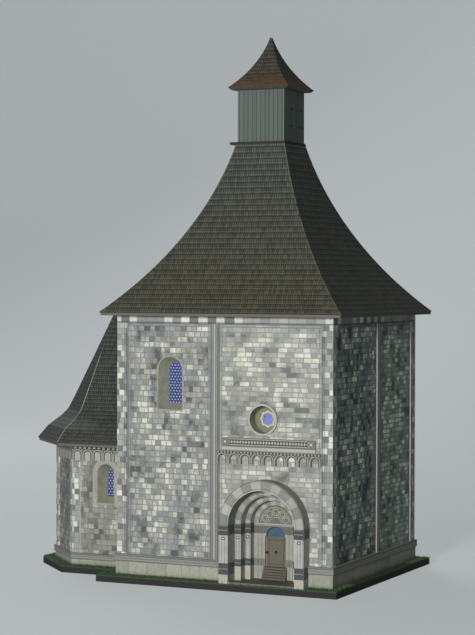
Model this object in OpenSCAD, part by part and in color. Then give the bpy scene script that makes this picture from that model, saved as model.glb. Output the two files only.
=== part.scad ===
// Card model of a Romanesque church on a base board: a square nave under a concave hipped
// roof with a lantern, a polygonal apse on the left, and a stepped round-arched portal.
// Millimetres. X runs along the entrance front, +Y goes back from it, +Z is up.
// The origin lies under the lantern, on the underside of the base board.

/* [Base] */
// Thickness of the base board
board_t = 2; // [1:0.5:4]
// Thickness of the green mat that lies on the board
turf_t = 0.4; // [0.2:0.1:1]
// Board showing in front of the nave
margin_front = 5; // [3:0.5:12]
// Board showing behind the nave
margin_back = 6.5; // [3:0.5:12]
// Board showing to the right of the nave
margin_right = 3.5; // [2:0.5:12]
// Board showing to the left of the nave
margin_left = 5.5; // [2:0.5:12]
// Board showing around the apse
margin_apse = 4.4; // [2:0.2:12]

/* [Nave] */
// Width of the nave across the entrance front
nave_w = 80; // [64:1:100]
// Depth of the nave from front to back
nave_d = 78.6; // [64:0.2:100]
// Height of the nave walls above the mat
wall_h = 88.9; // [76:0.1:120]
// Thickness of the card walls with their stiffener
wall_t = 1.2; // [0.8:0.1:2]
// Thickness of the raised strips that frame each wall
strip_t = 0.5; // [0.3:0.1:1]
// Width of the strips at the corners of the nave
corner_w = 3.9; // [2:0.1:6]
// Width of the strip in the middle of a nave wall
mid_w = 3.1; // [2:0.1:6]
// How far the front's middle strip lies left of the middle
mid_shift = 2.95; // [0:0.05:6]
// Depth of the plain band along the top of each wall
band_h = 2.5; // [1:0.1:6]
// Height of the plinth
plinth_h = 4.65; // [2:0.05:7]
// Thickness of the plinth strip
plinth_t = 0.8; // [0.6:0.1:1.5]
// Height of the moulding on the plinth
moulding_h = 2.45; // [1:0.05:4]
// Thickness of the moulding strip
moulding_t = 1.2; // [0.8:0.1:2]

/* [Main roof] */
// Overhang of the main roof past the walls
eave_out = 4.8; // [2:0.1:8]
// Thickness of the board that closes the walls at the eaves
eave_board_t = 1; // [0.6:0.1:2]
// Slope of the main roof at its eaves, in degrees
slope_low = 42.8; // [38:0.2:48]
// Slope of the main roof at its top, in degrees
slope_high = 75; // [70:0.5:78]
// Height of the main roof from its eaves to the cap board
roof_h = 58.6; // [48:0.2:70]
// Thickness of the roof card
roof_t = 0.8; // [0.5:0.1:1.5]

/* [Lantern] */
// Thickness of the cap board under the lantern
cap_t = 0.9; // [0.6:0.1:2]
// Cap board showing past the lantern on three sides
cap_lip = 0.5; // [0.2:0.1:2]
// Cap board showing past the lantern on the left
cap_lip_left = 2.8; // [0.2:0.1:3]
// Width of the lantern
lantern_w = 17.7; // [12:0.1:18]
// Height of the lantern walls
lantern_h = 18.1; // [10:0.1:30]
// Thickness of the lantern walls
lantern_t = 0.8; // [0.5:0.1:1.5]
// Overhang of the lantern roof
lantern_eave = 2.6; // [1:0.1:5]
// Height of the turned-in rim of the lantern roof
rim_h = 0.9; // [0.5:0.1:2]
// Height of the lantern roof above its rim
lantern_roof_h = 18; // [15:0.2:21]

/* [Apse] */
// Width of the apse
apse_w = 53.6; // [42:0.2:64]
// Distance of the apse's middle from the nave wall
apse_run = 14.3; // [8:0.2:24]
// Height of the apse walls above the mat
apse_wall_h = 42.5; // [36:0.1:52]
// Overhang of the apse roof
apse_eave = 6.3; // [2:0.1:8]
// Height of the apse roof from its eaves to its ridge
apse_roof_h = 46.7; // [40:0.1:56]
// Distance of the apse roof's peak from the nave wall
peak_run = 22.5; // [10:0.5:30]
// Height of the apse plinth
apse_plinth_h = 2.2; // [1:0.1:5]
// Height of the moulding on the apse plinth
apse_moulding_h = 2.1; // [1:0.1:4]
// Width of each corner strip on either side of an apse corner
apse_strip_w = 3; // [2:0.1:5]
// Height of the arched frieze under the apse eaves
apse_frieze_h = 5.4; // [3:0.1:8]

/* [Windows] */
// Width of the front window
window_w = 9.15; // [6:0.05:12]
// Height of the front window's sill above the mat
window_sill = 57.1; // [50:0.1:62]
// Height of the front window from sill to crown
window_h = 17.9; // [12:0.1:22]
// Distance of the front window's middle from the middle of the nave
window_x = 19.9; // [12:0.1:28]
// Width of the apse windows
apse_window_w = 6.6; // [4:0.1:10]
// Height of the apse windows' sills above the mat
apse_window_sill = 22.3; // [12:0.1:26]
// Height of the apse windows from sill to crown
apse_window_h = 13.8; // [8:0.1:18]
// Distance of the apse windows' middle from the nave wall
apse_window_run = 12.2; // [8:0.1:14]
// Depth of the window reveals behind the wall's face
reveal_d = 4.4; // [1.5:0.1:5]
// Thickness of the reveal card
reveal_t = 0.5; // [0.3:0.1:1]
// How far the jambs lean in towards the glass
splay = 2; // [0.5:0.1:2]
// How far the sill rises towards the glass
sill_rise = 2; // [0.5:0.1:3]
// Thickness of the glazing card
glass_t = 0.5; // [0.3:0.1:1]

/* [Round window] */
// Distance of the round window's middle from the middle of the nave
oculus_x = 14.8; // [8:0.1:24]
// Height of the round window's middle above the mat
oculus_z = 54.7; // [52:0.1:70]
// Radius of the raised ring
oculus_ring_r = 5.4; // [4:0.1:7]
// Radius of the opening inside the ring
oculus_r = 4.6; // [3:0.1:6]
// Radius of the rosette in the tracery
rosette_r = 1.8; // [1:0.1:2.8]
// How far the ring stands proud of the wall
oculus_proud = 0.7; // [0.3:0.1:1.5]

/* [Front ornaments] */
// Left end of the string course, from the middle of the nave
string_left = 0; // [-1:0.1:6]
// Length of the string course
string_w = 33.9; // [20:0.1:36]
// Height of the string course's foot above the mat
string_z = 44; // [40:0.1:46]
// Height of the string course
string_h = 4.4; // [2:0.1:5]
// Height of the plain band along the string course's foot
string_sill = 1.75; // [0.5:0.05:2.5]
// How far the string course stands proud of the wall
string_proud = 0.9; // [0.6:0.1:2]
// How far the end blocks stand proud of the string course
block_proud = 0.3; // [0.1:0.05:0.5]
// Height of the arched frieze under the string course
frieze_h = 4.3; // [3:0.1:6]
// Number of arches in the frieze
frieze_arches = 9; // [5:1:14]
// How far the frieze stands proud of the wall
frieze_proud = 0.8; // [0.5:0.1:2]

/* [Portal] */
// Distance of the portal's middle from the middle of the nave
portal_x = 16.3; // [14:0.1:20]
// Outer radius of the portal arch
portal_r = 15.4; // [12:0.1:17]
// Height of the arch's springing above the mat
spring_z = 19.5; // [12:0.1:22]
// How far the portal stands out from the wall
portal_out = 5; // [3:0.1:6]
// Width of the arch ring's face
ring_w = 3.35; // [2:0.05:5]
// Width of the outer order inside the ring
outer_order_w = 2.25; // [1:0.05:4]
// Width of the inner order inside the outer one
inner_order_w = 1.95; // [1:0.05:3]
// How far the outer order lies behind the ring's face
ring_step = 5.6; // [3:0.1:8]
// How far the inner order lies behind the outer one
outer_step = 3.4; // [2:0.1:5]
// How far the door wall lies behind the inner order
inner_step = 3.1; // [2:0.1:5]
// Height of the imposts on the jambs
impost_h = 3.3; // [2:0.1:5]
// How far the imposts stand out
impost_out = 0.35; // [0.2:0.05:0.6]
// Width of the door leaf
door_w = 7.6; // [5:0.1:9]
// Height of the door leaf
door_h = 10; // [8:0.1:12]
// Radius of the light above the door
fanlight_r = 3.5; // [2:0.1:4.5]
// Width of the stair
stair_w = 8.6; // [6:0.1:11]
// How far the steep stair reaches out from the door wall
stair_run = 1.5; // [0.5:0.1:2.8]
// Number of steps up to the door
steps = 5; // [2:1:7]
// Height of the door sill above the mat
sill_z = 4.9; // [3:0.1:6]
// Thickness of the paving inside the portal
paving_t = 0.6; // [0.4:0.1:1.5]

/* [Hidden] */
$fn = 96;

// A sliver that lets cutting tools pass cleanly through a face
eps = 0.05;
ground = board_t + turf_t;
half_w = nave_w / 2;
half_d = nave_d / 2;
// Planes of the card walls, behind the raised strips
wall_x = half_w - strip_t;
wall_y = half_d - strip_t;
panel_foot = plinth_h + moulding_h;

eave_w = half_w + eave_out;
eave_d = half_d + eave_out;
eave_z = wall_h + eave_board_t;
roof_turn = slope_high - slope_low;
roof_top_z = eave_z + roof_h;
// Flat strips that each curved slope of the main roof is folded in
roof_folds = 32;

lantern_half = lantern_w / 2;
// The main roof runs in to the edge of the cap board, whatever the lantern's size
cap_half = lantern_half + cap_lip;
lantern_z = roof_top_z + cap_t;
lantern_top = lantern_z + lantern_h;
lantern_out = lantern_half + lantern_eave;
tip_half = 0.35;
tip_run = lantern_out - tip_half;
// The lantern roof's slope turns as far as the main roof's does
tip_chord = norm([tip_run, lantern_roof_h]);
tip_r = tip_chord / (2 * sin(roof_turn / 2));
tip_slope = atan2(lantern_roof_h, tip_run) - roof_turn / 2;

// Half the side of an octagon that has an apothem of one
octagon = tan(22.5);
apse_half = apse_w / 2;
apse_x = -wall_x - apse_run;
peak_x = -wall_x - peak_run;
apse_wall_half = apse_half - strip_t;
apse_out = apse_half + apse_eave;
apse_eave_z = apse_wall_h + eave_board_t;
apse_window_x = -wall_x - apse_window_run;

portal_front = wall_y + portal_out;
ring_in = portal_r - ring_w;
outer_in = ring_in - outer_order_w;
inner_in = outer_in - inner_order_w;
outer_front = portal_front - ring_step;
inner_front = outer_front - outer_step;
door_plane = inner_front - inner_step;
order_lap = 1;
door_wall_t = 1.2;
leaf_t = 0.6;
// The frieze runs a little past both ends of the string course
frieze_over = 2;
frieze_left = string_left - frieze_over;
frieze_w = string_w + 2 * frieze_over;
// Half the width left free in the left wall's band for the apse roof's ridge
ridge_gap = 3.5;

module on_mat() {
    translate([0, 0, ground]) children();
}

// A flat shape drawn in X and Z, from plane y out towards the front by t
module upright(y, t) {
    translate([0, -y, 0]) rotate([90, 0, 0]) linear_extrude(t) children();
}

// A round-headed shape: half width, foot and springing
module arched(half, foot, spring) {
    translate([0, spring]) circle(half);
    translate([-half, foot]) square([2 * half, spring - foot]);
}

// The six corners of the apse's outline at one distance from its middle, front to back
function apse_ring(half) = let (k = octagon * half) [
    [-wall_x, -half], [apse_x - k, -half], [apse_x - half, -k],
    [apse_x - half, k], [apse_x - k, half], [-wall_x, half]
];

function reversed(list) = [for (i = [len(list) - 1 : -1 : 0]) list[i]];

function unit(v) = v / norm(v);

module nave_plan(grow) {
    square([nave_w + 2 * grow, nave_d + 2 * grow], center = true);
}

// The base board's outline: the nave's rectangle with the apse's half octagon on its left
module board_plan() {
    left = -half_w - margin_left;
    right = half_w + margin_right;
    front = -half_d - margin_front;
    back = half_d + margin_back;
    half = apse_half + margin_apse;
    k = octagon * half;
    polygon([
        [left, front], [right, front], [right, back], [left, back],
        [left, half], [apse_x - k, half], [apse_x - half, k],
        [apse_x - half, -k], [apse_x - k, -half], [left, -half]
    ]);
}

// A band of card around the apse, t thick, with its outside at half
module apse_band(half, t, z, h) {
    translate([0, 0, z]) linear_extrude(h)
        polygon(concat(apse_ring(half), reversed(apse_ring(half - t))));
}

// ---- base ----

module base_board() {
    color([0.06, 0.06, 0.06]) linear_extrude(board_t) board_plan();
}

module turf_mat() {
    color([0.16, 0.24, 0.14]) translate([0, 0, board_t]) linear_extrude(turf_t) board_plan();
}

// ---- nave walls ----

module front_openings() {
    translate([-window_x, 0])
        arched(window_w / 2 + reveal_t, window_sill - reveal_t, window_sill + window_h - window_w / 2);
    translate([oculus_x, oculus_z]) circle(oculus_r + reveal_t);
    translate([portal_x, 0]) arched(ring_in, -eps, spring_z);
}

module nave_front_wall() {
    color([0.6, 0.6, 0.58]) on_mat() upright(wall_y - wall_t, wall_t) difference() {
        translate([-wall_x, 0]) square([2 * wall_x, wall_h]);
        front_openings();
    }
}

module nave_back_wall() {
    color([0.6, 0.6, 0.58]) on_mat()
        translate([-wall_x, wall_y - wall_t, 0]) cube([2 * wall_x, wall_t, wall_h]);
}

module side_wall() {
    inside = wall_y - wall_t;
    translate([wall_x - wall_t, -inside, 0]) cube([wall_t, 2 * inside, wall_h]);
}

module nave_right_wall() {
    color([0.5, 0.5, 0.49]) on_mat() side_wall();
}

module nave_left_wall() {
    color([0.5, 0.5, 0.49]) on_mat() mirror([1, 0, 0]) side_wall();
}

// ---- raised strips that frame the walls ----

// The sheet of strips on a wall: two corner strips, a middle strip and the top band
module frame_sheet(half, corner, mid_at) {
    difference() {
        translate([-half, panel_foot]) square([2 * half, wall_h - panel_foot]);
        translate([-half + corner, panel_foot - eps])
            square([mid_at - mid_w / 2 + half - corner, wall_h - band_h - panel_foot + eps]);
        translate([mid_at + mid_w / 2, panel_foot - eps])
            square([half - corner - mid_at - mid_w / 2, wall_h - band_h - panel_foot + eps]);
    }
}

module front_wall_frame() {
    color([0.66, 0.66, 0.64]) on_mat() upright(wall_y, strip_t)
        difference() {
            frame_sheet(half_w, corner_w, -mid_shift);
            translate([frieze_left, string_z - frieze_h]) square([frieze_w, frieze_h]);
            translate([string_left, string_z]) square([string_w, string_h]);
            translate([portal_x, 0]) arched(portal_r, 0, spring_z);
        }
}

module back_wall_frame() {
    color([0.66, 0.66, 0.64]) on_mat() rotate([0, 0, 180]) upright(wall_y, strip_t)
        frame_sheet(half_w, corner_w, 0);
}

module right_wall_frame() {
    color([0.55, 0.55, 0.54]) on_mat() rotate([0, 0, 90]) upright(wall_x, strip_t)
        frame_sheet(wall_y, corner_w, mid_shift);
}

// On the apse's side the middle strip is left out and the band stops at the apse roof
module left_wall_frame() {
    color([0.55, 0.55, 0.54]) on_mat() rotate([0, 0, -90]) upright(wall_x, strip_t)
        difference() {
            translate([-wall_y, panel_foot]) square([2 * wall_y, wall_h - panel_foot]);
            translate([corner_w - wall_y, panel_foot - eps])
                square([2 * (wall_y - corner_w), wall_h - band_h - panel_foot + eps]);
            translate([-ridge_gap, wall_h - band_h - eps]) square([2 * ridge_gap, band_h + 2 * eps]);
        }
}

// A strip all the way round the nave, open for the portal and the apse
module nave_strip(t, z, h) {
    on_mat() translate([0, 0, z]) linear_extrude(h) difference() {
        nave_plan(t - strip_t);
        nave_plan(-strip_t);
        translate([portal_x - portal_r, -half_d - portal_out])
            square([2 * portal_r, portal_out + strip_t + eps]);
        translate([-half_w - 2 * t, -apse_wall_half - moulding_t])
            square([2 * t + 1, 2 * (apse_wall_half + moulding_t)]);
    }
}

module nave_plinth() {
    color([0.72, 0.71, 0.64]) nave_strip(plinth_t, 0, plinth_h);
}

module nave_moulding() {
    color([0.5, 0.5, 0.49]) nave_strip(moulding_t, plinth_h, moulding_h);
}

// ---- windows ----

// The space inside a splayed reveal: a cone at the head, leaning jambs and a rising sill
module splayed_space(half, sill, spring) {
    depth = reveal_d + 2 * eps;
    translate([0, -eps, spring]) rotate([-90, 0, 0])
        cylinder(r1 = half, r2 = half - splay, h = depth);
    intersection() {
        translate([0, -eps, sill]) linear_extrude(spring - sill)
            polygon([[-half, 0], [half, 0], [half - splay, depth], [splay - half, depth]]);
        translate([-half - 1, -eps, 0]) rotate([90, 0, 90]) linear_extrude(2 * half + 2)
            polygon([[0, sill], [depth, sill + sill_rise], [depth, spring + 1], [0, spring + 1]]);
    }
}

// A splayed box of card behind a round-headed opening
module reveal(w, sill, h) {
    half = w / 2;
    spring = sill + h - half;
    difference() {
        upright(-reveal_d, reveal_d) arched(half + reveal_t, sill - reveal_t, spring);
        splayed_space(half, sill, spring);
    }
}

module glazing(w, sill, h) {
    half = w / 2;
    upright(-reveal_d - glass_t, glass_t)
        arched(half + reveal_t, sill - reveal_t, sill + h - half);
}

// Places a child on the face of the front wall or of either apse side wall
module at_windows() {
    translate([-window_x, -wall_y, 0]) children(0);
    translate([apse_window_x, -apse_wall_half, 0]) children(1);
    mirror([0, 1, 0]) translate([apse_window_x, -apse_wall_half, 0]) children(1);
}

module window_reveals() {
    color([0.55, 0.55, 0.45]) on_mat() at_windows() {
        reveal(window_w, window_sill, window_h);
        reveal(apse_window_w, apse_window_sill, apse_window_h);
    }
}

module window_glass() {
    color([0.15, 0.22, 0.5]) on_mat() at_windows() {
        glazing(window_w, window_sill, window_h);
        glazing(apse_window_w, apse_window_sill, apse_window_h);
    }
}

// ---- round window ----

module at_oculus() {
    on_mat() translate([oculus_x, -wall_y, oculus_z]) rotate([90, 0, 0]) children();
}

module oculus_ring() {
    color([0.78, 0.78, 0.74]) at_oculus() linear_extrude(oculus_proud) difference() {
        circle(oculus_ring_r);
        circle(oculus_r);
    }
}

module oculus_reveal() {
    color([0.55, 0.55, 0.48]) at_oculus() translate([0, 0, -reveal_d]) linear_extrude(reveal_d) difference() {
        circle(oculus_r + reveal_t);
        circle(oculus_r);
    }
}

module oculus_tracery() {
    lobes = 8;
    lobe_r = rosette_r * 0.32;
    color([0.74, 0.73, 0.62]) at_oculus() translate([0, 0, -reveal_d]) linear_extrude(glass_t) difference() {
        circle(oculus_r);
        circle(rosette_r * 0.8);
        for (i = [0 : lobes - 1])
            rotate([0, 0, 360 * i / lobes]) translate([rosette_r * 0.8, 0]) circle(lobe_r, $fn = 24);
    }
}

module oculus_glass() {
    color([0.25, 0.25, 0.5]) at_oculus() translate([0, 0, -reveal_d - glass_t])
        linear_extrude(glass_t) circle(oculus_r + reveal_t);
}

// ---- string course and frieze over the portal ----

module string_course() {
    block = string_h - string_sill;
    color([0.45, 0.45, 0.43]) on_mat() {
        upright(wall_y, string_proud)
            translate([string_left, string_z + string_sill]) square([string_w, block]);
        upright(wall_y, string_proud - block_proud)
            translate([string_left, string_z]) square([string_w, string_sill]);
        for (x = [string_left, string_left + string_w - block])
            upright(wall_y + string_proud, block_proud) translate([x, string_z + string_sill]) square(block);
    }
}

module arcade_frieze() {
    pitch = frieze_w / frieze_arches;
    arch_r = pitch * 0.3;
    color([0.6, 0.6, 0.57]) on_mat() upright(wall_y, frieze_proud) difference() {
        translate([frieze_left, string_z - frieze_h]) square([frieze_w, frieze_h]);
        for (i = [0 : frieze_arches - 1])
            translate([frieze_left + pitch * (i + 0.5), 0])
                arched(arch_r, string_z - frieze_h - eps, string_z - frieze_h * 0.62);
    }
}

// ---- portal ----

module at_portal() {
    on_mat() translate([portal_x, 0, 0]) children();
}

// An order of the portal: a round arch on two jambs, t deep behind plane y
module order(in, out, y, t) {
    upright(y - t, t) difference() {
        arched(out, 0, spring_z);
        arched(in, -eps, spring_z);
    }
}

module portal_piers() {
    color([0.74, 0.74, 0.72]) at_portal() for (side = [0, 1]) mirror([side, 0, 0]) {
        upright(wall_y, portal_out) translate([ring_in, 0]) square([ring_w, spring_z]);
        upright(portal_front, impost_out)
            translate([ring_in, spring_z - impost_h]) square([ring_w, impost_h]);
    }
}

module portal_arch() {
    color([0.68, 0.68, 0.66]) at_portal() upright(wall_y, portal_out) difference() {
        translate([0, spring_z]) circle(portal_r);
        translate([0, spring_z]) circle(ring_in);
        translate([-portal_r - eps, spring_z - portal_r - eps])
            square([2 * (portal_r + eps), portal_r + eps]);
    }
}

module portal_outer_order() {
    color([0.62, 0.62, 0.6]) at_portal() order(outer_in, ring_in, outer_front, outer_step);
}

module portal_inner_order() {
    color([0.62, 0.62, 0.6]) at_portal() order(inner_in, outer_in + order_lap, inner_front, inner_step);
}

module door_opening() {
    translate([-door_w / 2, sill_z]) square([door_w, door_h]);
    translate([0, sill_z + door_h]) intersection() {
        circle(fanlight_r);
        translate([-fanlight_r, 0]) square([2 * fanlight_r, fanlight_r]);
    }
}

module door_wall() {
    color([0.5, 0.5, 0.44]) at_portal() upright(door_plane - door_wall_t, door_wall_t) difference() {
        arched(inner_in + order_lap, 0, spring_z);
        door_opening();
    }
}

module door_leaf() {
    color([0.36, 0.33, 0.24]) at_portal() upright(door_plane - door_wall_t, leaf_t)
        translate([-door_w / 2, sill_z]) square([door_w, door_h]);
}

module fanlight() {
    color([0.17, 0.3, 0.42]) at_portal() upright(door_plane - door_wall_t, leaf_t)
        translate([0, sill_z + door_h]) intersection() {
            circle(fanlight_r);
            translate([-fanlight_r, 0]) square([2 * fanlight_r, fanlight_r]);
        }
}

// Paving between the jambs, and a steep stair that climbs to the door sill
module portal_steps() {
    run = stair_run / steps;
    rise = (sill_z - paving_t) / steps;
    color([0.42, 0.39, 0.3]) at_portal() {
        upright(outer_front, ring_step) translate([-ring_in, 0]) square([2 * ring_in, paving_t]);
        upright(inner_front, outer_step) translate([-outer_in, 0]) square([2 * outer_in, paving_t]);
        upright(door_plane, inner_step) translate([-inner_in, 0]) square([2 * inner_in, paving_t]);
        for (i = [0 : steps - 1])
            upright(door_plane, run * (steps - i))
                translate([-stair_w / 2, paving_t + i * rise]) square([stair_w, rise]);
    }
}

// ---- main roof ----

module eaves_board() {
    color([0.25, 0.25, 0.24]) on_mat() translate([0, 0, wall_h])
        linear_extrude(eave_board_t) square([2 * eave_w - 1, 2 * eave_d - 1], center = true);
}

// How far in and up the slope's arc has gone at angle a, each as a share of the whole
function share_in(a) = (sin(a) - sin(slope_low)) / (sin(slope_high) - sin(slope_low));
function share_up(a) = (cos(slope_low) - cos(a)) / (cos(slope_low) - cos(slope_high));

// The slope's line in Y and Z, from an eave at distance out in to the cap board, set in by t
function slope_line(out, t) = [
    for (i = [0 : roof_folds]) let (a = slope_low + roof_turn * i / roof_folds) [
        -out + (out - cap_half) * share_in(a) + t * sin(a),
        eave_z + roof_h * share_up(a) - t * cos(a)
    ]
];

// One curved side of the hipped roof: its eave runs along X at distance out in front of the
// middle, and its ends are mitred on the lines from the eave's corners to the cap's corners
module curved_slope(out, other_out) {
    corner = [other_out, -out];
    cap_corner = [cap_half, -cap_half];
    inner = cap_corner + 2 * roof_t * unit(cap_corner - corner);
    intersection() {
        rotate([90, 0, 90]) translate([0, 0, -other_out]) linear_extrude(2 * other_out)
            intersection() {
                polygon(concat(slope_line(out, 0), reversed(slope_line(out, roof_t))));
                translate([-out, eave_z]) square([out, roof_h]);
            }
        translate([0, 0, eave_z - 1]) linear_extrude(roof_h + 2)
            polygon([[-corner.x, corner.y], corner, inner, [-inner.x, inner.y]]);
    }
}

module roof_long() {
    curved_slope(eave_d, eave_w);
}

module roof_short() {
    curved_slope(eave_w, eave_d);
}

module roof_front() {
    color([0.22, 0.2, 0.18]) on_mat() roof_long();
}

module roof_back() {
    color([0.22, 0.2, 0.18]) on_mat() rotate([0, 0, 180]) roof_long();
}

module roof_right() {
    color([0.2, 0.18, 0.17]) on_mat() rotate([0, 0, 90]) roof_short();
}

module roof_left() {
    color([0.2, 0.18, 0.17]) on_mat() rotate([0, 0, -90]) roof_short();
}

// ---- lantern ----

module cap_board() {
    w = lantern_w + cap_lip + cap_lip_left;
    color([0.07, 0.07, 0.07]) on_mat() translate([-lantern_half - cap_lip_left, -lantern_half - cap_lip, roof_top_z])
        cube([w, lantern_w + 2 * cap_lip, cap_t]);
}

module lantern_walls() {
    color([0.5, 0.51, 0.51]) on_mat() translate([0, 0, lantern_z]) linear_extrude(lantern_h) difference() {
        square(lantern_w, center = true);
        square(lantern_w - 2 * lantern_t, center = true);
    }
}

// A shallow board with a turned-in rim, and four curved sides that meet in a blunt tip
module lantern_roof() {
    z = lantern_top + rim_h;
    color([0.24, 0.2, 0.17]) on_mat() {
        hull() {
            translate([0, 0, lantern_top]) linear_extrude(eps) square(2 * (lantern_out - rim_h), center = true);
            translate([0, 0, z - eps]) linear_extrude(eps) square(2 * lantern_out, center = true);
        }
        intersection_for(turn = [0, 90, 180, 270]) rotate([0, 0, turn])
            rotate([90, 0, 90]) translate([0, 0, -lantern_out]) linear_extrude(2 * lantern_out)
                difference() {
                    translate([-lantern_out, z]) square([2 * lantern_out, lantern_roof_h]);
                    translate([-lantern_out - tip_r * sin(tip_slope), z + tip_r * cos(tip_slope)])
                        circle(tip_r, $fn = 240);
                }
    }
}

// ---- apse ----

// The wall between corner i of the apse and the next one, mitred at both ends
module apse_wall(i) {
    outside = apse_ring(apse_wall_half);
    inside = apse_ring(apse_wall_half - wall_t);
    on_mat() linear_extrude(apse_wall_h)
        polygon([outside[i], outside[i + 1], inside[i + 1], inside[i]]);
}

module apse_side_walls() {
    half = apse_window_w / 2;
    color([0.6, 0.59, 0.55]) for (side = [0, 1]) mirror([0, side, 0]) difference() {
        apse_wall(0);
        on_mat() translate([apse_window_x, -apse_wall_half, 0]) upright(-wall_t - 1, wall_t + 2)
            arched(half + reveal_t, apse_window_sill - reveal_t, apse_window_sill + apse_window_h - half);
    }
}

module apse_diagonal_walls() {
    color([0.58, 0.57, 0.53]) for (i = [1, 3]) apse_wall(i);
}

module apse_end_wall() {
    color([0.56, 0.55, 0.52]) apse_wall(2);
}

module apse_plinth() {
    color([0.72, 0.71, 0.64]) on_mat() apse_band(apse_wall_half + plinth_t, plinth_t, 0, apse_plinth_h);
}

module apse_moulding() {
    color([0.5, 0.5, 0.49]) on_mat()
        apse_band(apse_wall_half + moulding_t, moulding_t, apse_plinth_h, apse_moulding_h);
}

// A strip folded around corner i of the apse
module corner_strip(i, z, h) {
    outside = apse_ring(apse_half);
    inside = apse_ring(apse_wall_half);
    back = unit(outside[i - 1] - outside[i]);
    on = unit(outside[i + 1] - outside[i]);
    w = apse_strip_w;
    translate([0, 0, z]) linear_extrude(h) polygon([
        outside[i] + w * back, outside[i], outside[i] + w * on,
        inside[i] + w * on, inside[i], inside[i] + w * back
    ]);
}

module apse_corner_strips() {
    foot = apse_plinth_h + apse_moulding_h;
    color([0.7, 0.69, 0.65]) on_mat() for (i = [1 : 4])
        corner_strip(i, foot, apse_wall_h - apse_frieze_h - foot);
}

module apse_arched_frieze() {
    z = apse_wall_h - apse_frieze_h;
    color([0.6, 0.6, 0.56]) on_mat() apse_band(apse_half, strip_t, z, apse_frieze_h);
}

module apse_eaves_board() {
    color([0.25, 0.27, 0.25]) on_mat() translate([0, 0, apse_wall_h])
        linear_extrude(eave_board_t) polygon(apse_ring(apse_out - 0.5));
}

// The bell-cast slope of the apse roof: share of the way in from the eave, share of the rise
apse_slope = [
    [0, 0], [0.13, 0.094], [0.3, 0.172], [0.39, 0.226], [0.47, 0.32], [0.69, 0.6], [0.995, 0.992]
];

// The plan of the apse roof at one share of the way in from the eave to the peak
module apse_roof_section(share, drop) {
    k = octagon * apse_out;
    eave = [[apse_x - k, apse_out], [apse_x - apse_out, k], [apse_x - apse_out, -k], [apse_x - k, -apse_out]];
    ring = [for (p = eave) p + share * ([peak_x, 0] - p)];
    side = apse_out * (1 - share);
    z = apse_eave_z + apse_roof_h * lookup(share, apse_slope) - drop;
    translate([0, 0, z]) linear_extrude(eps)
        polygon(concat([[-half_w, side]], ring, [[-half_w, -side]]));
}

module apse_roof_mass(drop) {
    for (i = [0 : len(apse_slope) - 2]) hull() {
        apse_roof_section(apse_slope[i][0], drop);
        apse_roof_section(apse_slope[i + 1][0], drop);
    }
}

module apse_roof() {
    hollow = 1.5 * roof_t;
    color([0.24, 0.22, 0.18]) on_mat() difference() {
        apse_roof_mass(0);
        apse_roof_mass(hollow);
        translate([-eave_w - roof_t, -half_d, wall_h - eps])
            cube([2 * eave_out, nave_d, apse_roof_h]);
    }
}

base_board();
turf_mat();
nave_front_wall();
nave_right_wall();
nave_back_wall();
nave_left_wall();
front_wall_frame();
right_wall_frame();
back_wall_frame();
left_wall_frame();
nave_plinth();
nave_moulding();
window_reveals();
window_glass();
oculus_ring();
oculus_reveal();
oculus_tracery();
oculus_glass();
string_course();
arcade_frieze();
portal_piers();
portal_arch();
portal_outer_order();
portal_inner_order();
door_wall();
door_leaf();
fanlight();
portal_steps();
eaves_board();
roof_front();
roof_right();
roof_back();
roof_left();
cap_board();
lantern_walls();
lantern_roof();
apse_side_walls();
apse_diagonal_walls();
apse_end_wall();
apse_plinth();
apse_moulding();
apse_corner_strips();
apse_arched_frieze();
apse_eaves_board();
apse_roof();
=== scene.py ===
import math

import bpy
import numpy as np
from mathutils import Matrix, Vector


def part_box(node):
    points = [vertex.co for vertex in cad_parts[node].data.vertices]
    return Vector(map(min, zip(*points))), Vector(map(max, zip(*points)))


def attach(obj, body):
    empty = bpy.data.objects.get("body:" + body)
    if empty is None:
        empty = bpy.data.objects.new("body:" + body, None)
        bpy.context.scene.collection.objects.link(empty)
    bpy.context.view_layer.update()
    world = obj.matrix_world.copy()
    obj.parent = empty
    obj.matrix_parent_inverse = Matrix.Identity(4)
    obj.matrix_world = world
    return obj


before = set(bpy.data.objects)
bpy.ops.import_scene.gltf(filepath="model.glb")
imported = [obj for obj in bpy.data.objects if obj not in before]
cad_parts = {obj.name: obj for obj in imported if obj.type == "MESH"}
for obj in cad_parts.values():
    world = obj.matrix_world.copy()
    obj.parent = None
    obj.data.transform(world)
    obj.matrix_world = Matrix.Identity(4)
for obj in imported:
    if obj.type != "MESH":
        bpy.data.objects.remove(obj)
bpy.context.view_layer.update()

MM = 0.001
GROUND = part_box("turf_mat")[1].z / MM
TAU = 2 * math.pi


def tone(red, green, blue):
    """A printed colour, from 0-255 display values to linear light by the sRGB curve."""
    shares = np.array([red, green, blue]) / 255
    linear = np.where(shares <= 0.04045, shares / 12.92, ((shares + 0.055) / 1.055) ** 2.4)
    return (*linear.tolist(), 1.0)


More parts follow.
